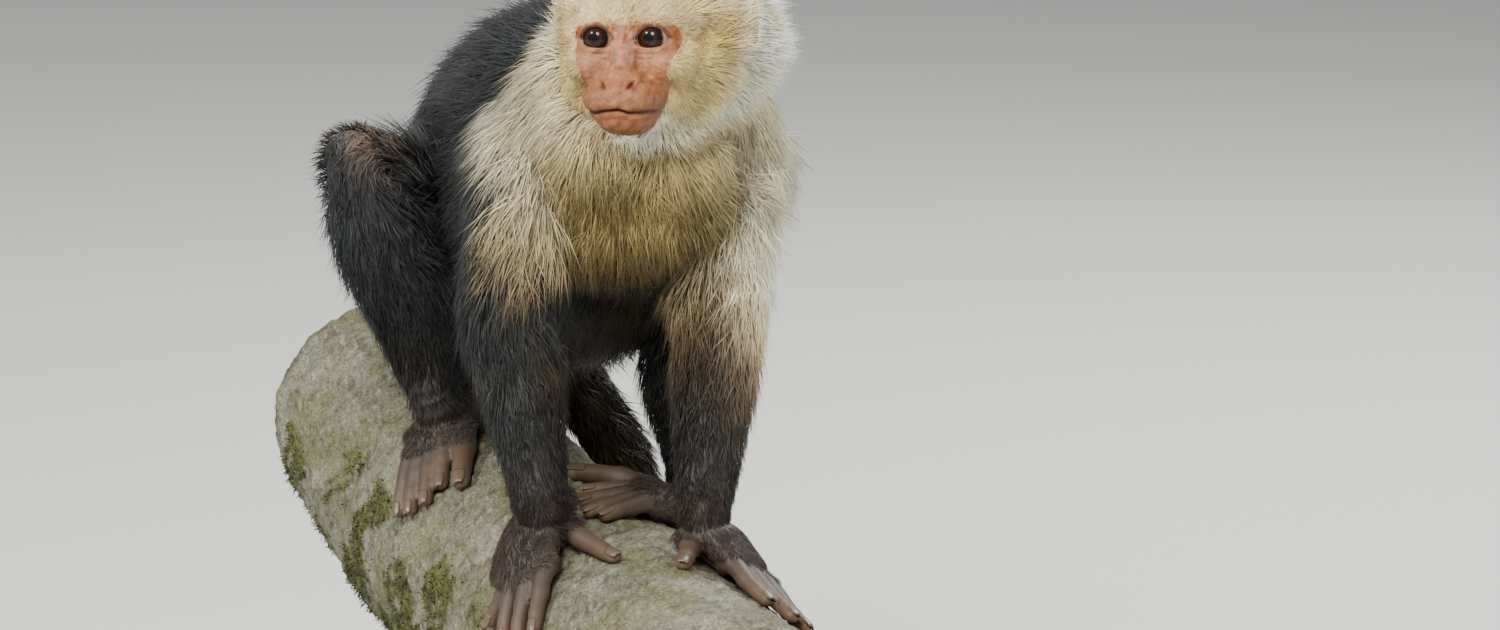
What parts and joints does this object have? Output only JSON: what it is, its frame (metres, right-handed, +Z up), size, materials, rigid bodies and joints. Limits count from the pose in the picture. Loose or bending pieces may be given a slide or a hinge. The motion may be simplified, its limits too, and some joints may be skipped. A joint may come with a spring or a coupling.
{
  "type": "capuchin monkey model",
  "caption": "Life-size capuchin monkey crouched on all fours on a sloping cut limb, its tail curled, held by a flat display stand.",
  "frame": {"origin": "centre of the underside of the stand's base", "axes": "+Z up, +Y backwards along the limb from the hands to the feet, +X to the animal's left"},
  "size_m": [0.25, 0.4734, 0.481],
  "materials": {
    "black_coat": "long soft black hair with a grey sheen",
    "cream_coat": "long soft cream hair",
    "brown_skin": "bare wrinkled skin, dull",
    "eye": "polished, near black brown",
    "ear_skin": "bare thin skin",
    "bark": "rough grey bark with moss and lichen",
    "stand_black": "black satin lacquer",
    "rod_steel": "brushed"
  },
  "bodies": {
    "root": {"ear_left": "ear_skin", "ear_right": "ear_skin", "eye_left": "eye", "eye_right": "eye", "foot_left": "brown_skin", "foot_right": "brown_skin", "forearm_left": "black_coat", "forearm_right": "black_coat", "hand_left": "brown_skin", "hand_right": "brown_skin", "head": "cream_coat", "neck": "cream_coat", "perch_limb": "bark", "shin_left": "black_coat", "shin_right": "black_coat", "stand_base": "stand_black", "stand_rod_front": "rod_steel", "stand_rod_rear": "rod_steel", "tail_1": "black_coat", "tail_2": "black_coat", "tail_3": "black_coat", "tail_4": "black_coat", "thigh_left": "black_coat", "thigh_right": "black_coat", "trunk": "black_coat", "upper_arm_left": "cream_coat", "upper_arm_right": "cream_coat"}
  },
  "joints": []
}
